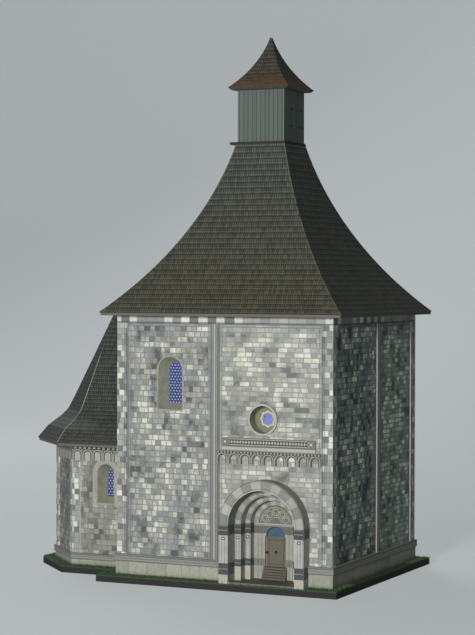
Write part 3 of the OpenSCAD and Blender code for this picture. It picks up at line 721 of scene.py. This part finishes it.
def keep(name, points, faces, finish, slot, smooth=True):
    """A finished piece from a point array in metres and a list of faces."""
    mesh = bpy.data.meshes.new(name)
    mesh.from_pydata(points.tolist(), [], faces)
    mesh.polygons.foreach_set("use_smooth", np.full(len(mesh.polygons), smooth))
    mesh.update()
    mesh.materials.append(finish)
    piece = bpy.data.objects.new(name, mesh)
    bpy.context.scene.collection.objects.link(piece)
    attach(piece, "root")


def grid_faces(rows, columns, wrap):
    """Quads between neighbouring points of a grid of rows and columns, whose columns close
    on themselves when wrap is set."""
    r = np.arange(rows - 1)[:, None]
    c = np.arange(columns if wrap else columns - 1)[None, :]
    after = (c + 1) % columns
    corners = [r * columns + c, r * columns + after, (r + 1) * columns + after, (r + 1) * columns + c]
    return np.stack(corners, -1).reshape(-1, 4)


def domes(centres, outward, radius, proud, around=12, rings=4):
    """Low domes: at angle a round the middle and angle b from rim to crown, a point lies
    radius * cos(b) from the axis and proud * sin(b) out along the outward direction. One
    point closes the crown, and another, a tenth of a millimetre in, the back. In metres."""
    outward = np.array(outward, float)
    side = np.cross(outward, (0.0, 0.0, 1.0))
    side /= np.linalg.norm(side)
    up = np.cross(side, outward)
    a = np.arange(around) / around * TAU
    b = np.linspace(0, math.radians(78), rings)
    flat = np.cos(b)[:, None] * radius
    ring = (flat * np.cos(a))[..., None] * side + (flat * np.sin(a))[..., None] * up
    ring = ring + (np.sin(b)[:, None] * proud * np.ones(around))[..., None] * outward
    ring = ring.reshape(-1, 3)
    crown = outward * proud
    foot = -outward * 0.1 * MM
    one = np.vstack([ring, crown, foot])
    walls = grid_faces(rings, around, True)[:, ::-1]
    n = rings * around
    turn = np.arange(around)
    after = (turn + 1) % around
    last = (rings - 1) * around
    cap = np.stack([last + after, last + turn, np.full(around, n)], -1)
    base = np.stack([turn, after, np.full(around, n + 1)], -1)
    points = (np.array(centres)[:, None, :] + one[None]).reshape(-1, 3)
    shift = (np.arange(len(centres)) * len(one))[:, None, None]
    quads = (walls[None] + shift).reshape(-1, 4).tolist()
    tips = (np.vstack([cap, base])[None] + shift).reshape(-1, 3).tolist()
    return points, quads + tips


def bead_along(path, normal, half, proud, closed=False, sides=7):
    """A raised bead carried along a path in a plane: at angle a from 0 to pi its surface lies
    half * cos(a) to the side of the path and proud * sin(a) out along the normal. The flat
    back closes it."""
    path = np.array(path, float)
    normal = np.array(normal, float)
    if closed:
        ahead = np.roll(path, -1, 0) - np.roll(path, 1, 0)
    else:
        ahead = np.gradient(path, axis=0)
    ahead /= np.linalg.norm(ahead, axis=1)[:, None]
    side = np.cross(normal, ahead)
    a = np.linspace(0, math.pi, sides)
    section = side[:, None, :] * (np.cos(a) * half)[None, :, None]
    section = section + normal[None, None, :] * (np.sin(a) * proud)[None, :, None]
    points = (path[:, None, :] + section).reshape(-1, 3)
    faces = grid_faces(len(path), sides, True)
    if closed:
        last = (len(path) - 1) * sides
        turn = np.arange(sides)
        after = (turn + 1) % sides
        faces = np.vstack([faces, np.stack([last + turn, last + after, after, turn], -1)])
        return points, faces.tolist()
    ends = [list(range(sides))[::-1], list(range(len(points) - sides, len(points)))]
    return points, faces.tolist() + ends


def joined(parts):
    """Several (points, faces) pairs as one."""
    points = []
    faces = []
    count = 0
    for some_points, some_faces in parts:
        points.append(some_points)
        faces += [[i + count for i in face] for face in some_faces]
        count += len(some_points)
    return np.vstack(points), faces


def turf_tufts(count, seed):
    """Ragged flock: three-sided blades standing on random points of the mat's top. A point on
    a triangle is its corners weighted by square-rooted random shares, so the cover is even."""
    rng = np.random.default_rng(seed)
    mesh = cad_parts["turf_mat"].data
    co = np.empty(len(mesh.vertices) * 3, np.float32)
    mesh.vertices.foreach_get("co", co)
    co = co.reshape(-1, 3).astype(float)
    mesh.calc_loop_triangles()
    index = np.empty(len(mesh.loop_triangles) * 3, np.int32)
    mesh.loop_triangles.foreach_get("vertices", index)
    corners = co[index.reshape(-1, 3)]
    cross = np.cross(corners[:, 1] - corners[:, 0], corners[:, 2] - corners[:, 0])
    top = (cross[:, 2] > 0) & (corners[:, :, 2].min(1) > co[:, 2].max() - 0.05 * MM)
    corners = corners[top]
    area = np.linalg.norm(cross[top], axis=1)
    chosen = rng.choice(len(corners), count, p=area / area.sum())
    root, swing = np.sqrt(rng.random(count))[:, None], rng.random(count)[:, None]
    a, b, c = corners[chosen, 0], corners[chosen, 1], corners[chosen, 2]
    spot = a * (1 - root) + b * root * (1 - swing) + c * root * swing
    lo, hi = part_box("nave_plinth")
    clear = 0.15 * MM
    in_nave = (np.abs(spot[:, 0]) < hi.x + clear) & (np.abs(spot[:, 1]) < hi.y + clear)
    lo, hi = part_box("apse_plinth")
    half = hi.y + clear
    centre = lo.x + hi.y
    in_apse = (spot[:, 0] > lo.x - clear) & (np.abs(spot[:, 1]) < half)
    in_apse &= (centre - spot[:, 0]) + np.abs(spot[:, 1]) < half * math.sqrt(2)
    lo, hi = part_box("portal_arch")
    in_portal = (spot[:, 0] > lo.x - clear) & (spot[:, 0] < hi.x + clear)
    in_portal &= (spot[:, 1] > lo.y - clear) & (spot[:, 1] < 0)
    spot = spot[~(in_nave | in_apse | in_portal)]
    n = len(spot)
    width = rng.uniform(0.07, 0.16, n)[:, None] * MM
    tall = rng.uniform(0.2, 0.75, n)[:, None] * MM
    spin = rng.random(n)[:, None] * TAU + np.arange(3) / 3 * TAU
    sunk = np.full_like(spin, -0.05 * MM)
    foot = spot[:, None, :] + np.stack([np.cos(spin) * width, np.sin(spin) * width, sunk], -1)
    lean = rng.normal(0, 0.25, (n, 2)) * tall
    tip = spot + np.column_stack([lean, tall])
    points = np.concatenate([foot, tip[:, None, :]], 1).reshape(-1, 3)
    board_low, board_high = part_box("base_board")
    points[:, 0] = points[:, 0].clip(board_low.x, board_high.x)
    points[:, 1] = points[:, 1].clip(board_low.y, board_high.y)
    blade = np.array([[0, 1, 3], [1, 2, 3], [2, 0, 3], [2, 1, 0]])
    faces = (blade[None] + (np.arange(n) * 4)[:, None, None]).reshape(-1, 3)
    return points, faces.tolist()


def dress(names, finish):
    """Gives CAD nodes their finish."""
    for name in names:
        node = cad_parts[name]
        if not node.material_slots:
            node.data.materials.append(finish)
        for held in node.material_slots:
            held.material = finish


def size_mm(name):
    """A node's low and high corners in millimetres."""
    lo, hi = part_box(name)
    return [v / MM for v in lo], [v / MM for v in hi]


front_high = size_mm("front_wall_frame")[1]
HALF_W = front_high[0]
# Width of a corner strip, foot of the top band, and the middle strip's place and half width
CORNER = 3.9
BAND = front_high[2] - GROUND - 2.5
MID = -2.95
MID_HALF = 1.55
# A place past every part, for a wall with no middle strip or no window
NOWHERE = 999.0

pale_carving = carved_pale()
inner_front = HALF_W - CORNER
dress(["nave_front_wall"], wall_stone("front_stone", MID, panel=(inner_front, MID, MID_HALF, BAND)))
dress(["nave_back_wall"], wall_stone("back_stone", MID, panel=(inner_front, 0.0, MID_HALF, BAND)))
side_half = size_mm("right_wall_frame")[1][1]
inner_side = side_half - CORNER
# The side walls take a deepened, teal-tinted copy of the print: painted shade.
dress(["nave_right_wall"], wall_stone(
    "right_stone", MID, shade_gamma=1.6, panel=(inner_side, -MID, MID_HALF, BAND)))
dress(["nave_left_wall"], wall_stone(
    "left_stone", MID, shade_gamma=1.6, panel=(inner_side, NOWHERE, MID_HALF, BAND)))
dress(["front_wall_frame"], frame_strips("front_strips", HALF_W, CORNER, MID, MID_HALF, BAND, "y"))
dress(["back_wall_frame"], frame_strips("back_strips", HALF_W, CORNER, 0.0, MID_HALF, BAND, "y"))
dress(["right_wall_frame"], frame_strips("right_strips", side_half, CORNER, -MID, MID_HALF, BAND, "x"))
dress(["left_wall_frame"], frame_strips("left_strips", side_half, CORNER, NOWHERE, MID_HALF, BAND, "x"))
dress(["nave_plinth"], plinth_print("nave_ashlar", size_mm("nave_plinth")[1][2] - GROUND))
dress(["apse_plinth"], plinth_print("apse_ashlar", size_mm("apse_plinth")[1][2] - GROUND))
low_mm, high_mm = size_mm("nave_moulding")
dress(["nave_moulding"], moulding_print("nave_moulding_print", low_mm[2] - GROUND, high_mm[2] - low_mm[2]))
low_mm, high_mm = size_mm("apse_moulding")
dress(["apse_moulding"], moulding_print("apse_moulding_print", low_mm[2] - GROUND, high_mm[2] - low_mm[2]))
dress(["window_reveals", "oculus_reveal"], reveal_print())
dress(["window_glass"], glazing_print())
low_mm, high_mm = size_mm("oculus_ring")
ROSE_X = (low_mm[0] + high_mm[0]) / 2
ROSE_Z = (low_mm[2] + high_mm[2]) / 2 - GROUND
dress(["oculus_ring"], oculus_print("oculus_ring_print", ROSE_X, ROSE_Z, "ring"))
dress(["oculus_tracery"], oculus_print("oculus_tracery_print", ROSE_X, ROSE_Z, "tracery"))
dress(["oculus_glass"], rose_glass())
low_mm, high_mm = size_mm("string_course")
STRING_LEFT, STRING_W = low_mm[0], high_mm[0] - low_mm[0]
STRING_FOOT, STRING_H = low_mm[2] - GROUND, high_mm[2] - low_mm[2]
STRING_SILL = 1.75
dress(["string_course"], string_print(STRING_LEFT, STRING_W, STRING_FOOT, STRING_SILL, STRING_H))
low_mm, high_mm = size_mm("arcade_frieze")
dress(["arcade_frieze"], frieze_print(
    "arcade_print", low_mm[0], high_mm[0] - low_mm[0], 9, low_mm[2] - GROUND, high_mm[2] - low_mm[2]))
low_mm, high_mm = size_mm("apse_arched_frieze")
dress(["apse_arched_frieze"], frieze_print(
    "apse_frieze_print", 0.0, 4.05, 1, low_mm[2] - GROUND, high_mm[2] - low_mm[2], True))
# An apse window's middle, half its width, its sill and its springing
APSE_WINDOW = (size_mm("apse_side_walls")[1][0] - 12.2, 3.3, 22.3, 32.8)
dress(["apse_side_walls"], wall_stone("apse_stone", NOWHERE, 0.18, 0.1, APSE_WINDOW))
dress(["apse_diagonal_walls", "apse_end_wall"], wall_stone("apse_shaded_stone", NOWHERE, 0.1, 0.42))
dress(["apse_corner_strips"], frame_strips("apse_strips", NOWHERE, CORNER, NOWHERE, MID_HALF, NOWHERE, "y"))
dress(["portal_arch"], ring_voussoirs(PORTAL_LOW.y / MM))
dress(["portal_piers"], portal_stone("pier_print", RING_IN, PORTAL_R, 9.0, 0.0, *PIER_BANDS))
dress(["portal_outer_order"], portal_stone(
    "outer_order_print", OUTER_ORDER_IN, RING_IN, 21.0, 0.5, *JAMB_BANDS))
dress(["portal_inner_order"], portal_stone(
    "inner_order_print", INNER_ORDER_IN, OUTER_ORDER_IN, 27.0, 0.5, *JAMB_BANDS))
dress(["door_wall"], door_wall_print())
dress(["door_leaf"], door_print())
dress(["fanlight"], fanlight_print())
dress(["portal_steps"], steps_print())
dress(["eaves_board", "apse_eaves_board"], soffit_print())
dress(["base_board", "cap_board"], black_board())
dress(["turf_mat"], turf_green("turf_green", 0.8))

low_mm, high_mm = size_mm("roof_front")
ROOF_FOOT, ROOF_RISE = low_mm[2] - GROUND, high_mm[2] - low_mm[2]
EAVE_D = -low_mm[1]
EAVE_W = size_mm("roof_right")[1][0]
LANTERN_HALF = size_mm("lantern_walls")[1][0]
LOW_ANGLE, HIGH_ANGLE = math.radians(42.8), math.radians(75.0)
hips = (EAVE_W, EAVE_D, LANTERN_HALF + 0.5)
GREYER, BROWNER = (65, 70, 67), (75, 74, 61)
main_shingles = shingle_print(
    "main_shingles", ROOF_FOOT, ROOF_RISE, LOW_ANGLE, HIGH_ANGLE, 2.2, 0.82, GREYER, BROWNER, None, hips)
dress(["roof_front", "roof_right", "roof_back", "roof_left"], main_shingles)
low_mm, high_mm = size_mm("lantern_roof")
dress(["lantern_roof"], shingle_print(
    "lantern_shingles", low_mm[2] - GROUND, high_mm[2] - low_mm[2],
    math.radians(35), math.radians(75), 1.7, 0.75,
    (60, 62, 57), (76, 67, 52), (112, 74, 42)))
low_mm, high_mm = size_mm("apse_roof")
dress(["apse_roof"], shingle_print(
    "apse_shingles", low_mm[2] - GROUND, high_mm[2] - low_mm[2], math.radians(35), math.radians(62), 1.9, 0.8,
    (62, 66, 63), (66, 70, 66), None))
dress(["lantern_walls"], boarding_print(LANTERN_HALF))

# Pieces that stand proud of the card
points, faces = turf_tufts(68000, 4)
keep("turf_tufts", points, faces, turf_green("turf_tufts_green", 1.1), "turf_green", smooth=False)

low_mm, high_mm = size_mm("lantern_walls")
# Two rows of two pegs on each side of the lantern: places along it and heights over the mat
PEG_Y = (-2.6, 6.05)
PEG_Z = (154.95, 160.8)
yy, zz = np.meshgrid(PEG_Y, np.array(PEG_Z) + GROUND)
right_pegs = np.column_stack([np.full(4, high_mm[0]), yy.ravel(), zz.ravel()]) * MM
left_pegs = np.column_stack([np.full(4, low_mm[0]), -yy.ravel(), zz.ravel()]) * MM
black = peg_black()
keep("right_pegs", *domes(right_pegs, (1, 0, 0), 0.42 * MM, 0.3 * MM), black, "board_black")
keep("left_pegs", *domes(left_pegs, (-1, 0, 0), 0.42 * MM, 0.3 * MM), black, "board_black")


def tympanum_carving():
    """Scrolls in the arch over the door: five loops whose middles sit on an arc, each a
    circle, an inner curl that winds in as its angle grows, and a scalloped band round them."""
    plane = (size_mm("door_wall")[0][1] - 0.02) * MM
    centre = np.array([PORTAL_X * MM, plane, (SPRING + GROUND) * MM])
    turn = np.linspace(0, TAU, 25)[:-1]
    parts = []
    for angle in np.radians([14, 52, 90, 128, 166]):
        middle = centre + np.array([math.cos(angle), 0, math.sin(angle)]) * 3.75 * MM
        if angle < 0.3 or angle > 2.8:
            middle = middle + np.array([0, 0, 0.55 * MM])
        loop = middle + np.column_stack([np.cos(turn), turn * 0, np.sin(turn)]) * 1.15 * MM
        parts.append(bead_along(loop, (0, -1, 0), 0.17 * MM, 0.16 * MM, True))
        wind = np.linspace(0, TAU * 0.8, 20)
        reach = (0.75 - 0.45 * wind / wind.max())[:, None] * MM
        curl = middle + np.column_stack([np.cos(wind + angle), wind * 0, np.sin(wind + angle)]) * reach
        parts.append(bead_along(curl, (0, -1, 0), 0.12 * MM, 0.14 * MM))
    sweep = np.linspace(math.radians(4), math.radians(176), 90)
    reach = (5.28 + 0.16 * np.abs(np.sin(sweep * 9)))[:, None] * MM
    band = centre + np.column_stack([np.cos(sweep), sweep * 0, np.sin(sweep)]) * reach
    parts.append(bead_along(band, (0, -1, 0), 0.16 * MM, 0.15 * MM))
    sweep = np.linspace(math.radians(8), math.radians(172), 50)
    reach = (1.9 + 0.3 * np.abs(np.sin(sweep * 4)))[:, None] * MM
    fan = centre + np.column_stack([np.cos(sweep), sweep * 0, np.sin(sweep)]) * reach
    parts.append(bead_along(fan, (0, -1, 0), 0.14 * MM, 0.14 * MM))
    return joined(parts)


keep("tympanum_carving", *tympanum_carving(), pale_carving, "pale_stone")

# The apse roof's slope: shares of the way in from the eave, and of the rise
APSE_SLOPE = ([0, 0.13, 0.3, 0.39, 0.47, 0.69, 0.995], [0, 0.094, 0.172, 0.226, 0.32, 0.6, 0.992])
# How far the apse roof's peak lies to the left of the apse's middle
PEAK_LEFT = 8.2


def apse_hip(side):
    """The white fold along an apse hip: a bead from the eave's corner up to the peak. In plan
    it runs straight, and its height follows the bell-cast profile's table of shares."""
    lo, hi = size_mm("apse_roof")
    reach = hi[1]
    middle = lo[0] + reach
    peak = np.array([middle - PEAK_LEFT, 0.0])
    corner = np.array([middle - reach * math.tan(math.pi / 8), side * reach])
    share = np.linspace(0.01, 0.97, 40)
    profile = np.interp(share, *APSE_SLOPE)
    plan = corner + share[:, None] * (peak - corner)
    path = np.column_stack([plan, lo[2] + 0.05 + profile * (hi[2] - lo[2])]) * MM
    outward = np.array([-0.3, side * 0.75, 0.6])
    return bead_along(path, outward / np.linalg.norm(outward), 0.16 * MM, 0.1 * MM)


keep("apse_hip_front", *apse_hip(-1), pale_carving, "pale_stone")
keep("apse_hip_back", *apse_hip(1), pale_carving, "pale_stone")

frieze_low, frieze_high = size_mm("arcade_frieze")
PEARLS = int((frieze_high[0] - frieze_low[0]) / PEARL_PITCH)
pearl_x = frieze_low[0] + (np.arange(PEARLS) + 0.5) * PEARL_PITCH
pearl_z = STRING_FOOT - PEARL_DROP + GROUND
pearls = np.column_stack([pearl_x, np.full(PEARLS, frieze_low[1]), np.full(PEARLS, pearl_z)]) * MM
keep("frieze_pearls", *domes(pearls, (0, -1, 0), 0.36 * MM, 0.2 * MM), pale_carving, "pale_stone")

leaf_front = size_mm("door_leaf")[0][1]
knob_z = DOOR_SILL + 4.8 + GROUND
knob = np.array([[PORTAL_X, leaf_front, knob_z], [PORTAL_X - 3.3, leaf_front, knob_z - 0.2]]) * MM
keep("door_knobs", *domes(knob, (0, -1, 0), 0.5 * MM, 0.35 * MM), black, "board_black")



def floor_paper():
    """Pale matt paper. Half of what the camera sees of it is an even glow, to keep it pale."""
    f = Finish("floor_paper")
    matt = {"Base Color": (0.62, 0.64, 0.65, 1), "Roughness": 0.9}
    lit = f.node("ShaderNodeBsdfPrincipled", None, matt)
    glow = f.node("ShaderNodeEmission", None, {"Color": (0.6, 0.64, 0.66, 1)})
    seen = f.node("ShaderNodeLightPath", out="Is Camera Ray")
    surface = f.node("ShaderNodeMixShader", None, {"Fac": seen * 0.5, 1: lit, 2: glow})
    f.node("ShaderNodeOutputMaterial", None, {"Surface": surface})
    return f.material


# A paper sweep, the light and the camera. The sweep runs level from the front, then turns
# up behind the model on a quarter circle.
bend = np.linspace(0, math.pi / 2, 24)
sweep_y = np.concatenate([[-3.0], 0.55 + 0.45 * np.sin(bend), [1.0]])
sweep_z = np.concatenate([[0.0], 0.45 - 0.45 * np.cos(bend), [3.0]])
side = np.array([-4.0, 4.0])
ground_points = np.stack([
    np.broadcast_to(side, (len(sweep_y), 2)),
    np.broadcast_to(sweep_y[:, None], (len(sweep_y), 2)),
    np.broadcast_to(sweep_z[:, None], (len(sweep_y), 2)),
], -1).reshape(-1, 3)
floor_mesh = bpy.data.meshes.new("floor")
floor_mesh.from_pydata(ground_points.tolist(), [], grid_faces(len(sweep_y), 2, False).tolist())
floor_mesh.polygons.foreach_set("use_smooth", np.full(len(floor_mesh.polygons), True))
floor = bpy.data.objects.new("floor", floor_mesh)
bpy.context.scene.collection.objects.link(floor)
floor_mesh.materials.append(floor_paper())

world = bpy.data.worlds.new("studio")
world.use_nodes = True
bpy.context.scene.world = world
sky = Wires(world.node_tree)
fill = sky.node("ShaderNodeBackground", None, {"Color": (0.72, 1.0, 0.94, 1), "Strength": 0.062})
seen = sky.node("ShaderNodeBackground", None, {"Color": (0.62, 0.66, 0.69, 1), "Strength": 1.0})
eye = sky.node("ShaderNodeLightPath", out="Is Camera Ray")
sky.node("ShaderNodeOutputWorld", None, {
    "Surface": sky.node("ShaderNodeMixShader", None, {"Fac": eye, 1: fill, 2: seen})})


def lamp(name, place, aim, size, power, colour):
    """A square soft light at place, turned towards aim."""
    light = bpy.data.lights.new(name, "AREA")
    light.size = size
    light.energy = power
    light.color = colour
    item = bpy.data.objects.new(name, light)
    item.location = place
    item.rotation_euler = (Vector(aim) - Vector(place)).to_track_quat("-Z", "Y").to_euler()
    bpy.context.scene.collection.objects.link(item)


HALFWAY_UP = (0, 0, 0.09)
lamp("key", (0.1, -1.02, 0.22), HALFWAY_UP, 0.16, 9.2, (1.0, 0.985, 0.95))
lamp("back_fill", (-0.5, 0.52, 0.6), HALFWAY_UP, 0.4, 2.6, (0.94, 0.98, 1.0))

# The view: where the eye is, how far it turns left, looks down and rolls, and its lens
EYE = (0.28268, -0.63179, 0.10305)
AZIMUTH, DOWN, ROLL = math.radians(25.068), math.radians(1.056), math.radians(0.167)
ahead = Vector((-math.sin(AZIMUTH) * math.cos(DOWN), math.cos(AZIMUTH) * math.cos(DOWN), -math.sin(DOWN)))
right = ahead.cross(Vector((0, 0, 1))).normalized()
up = right.cross(ahead)
right, up = right * math.cos(ROLL) + up * math.sin(ROLL), up * math.cos(ROLL) - right * math.sin(ROLL)
lens = bpy.data.cameras.new("camera")
lens.lens = 111.18
lens.sensor_width = 36.0
lens.clip_start = 0.01
camera = bpy.data.objects.new("camera", lens)
turn = Matrix((right, up, -ahead)).transposed().to_4x4()
camera.matrix_world = Matrix.Translation(EYE) @ turn
bpy.context.scene.collection.objects.link(camera)
bpy.context.scene.camera = camera
bpy.context.scene.view_settings.view_transform = "Standard"
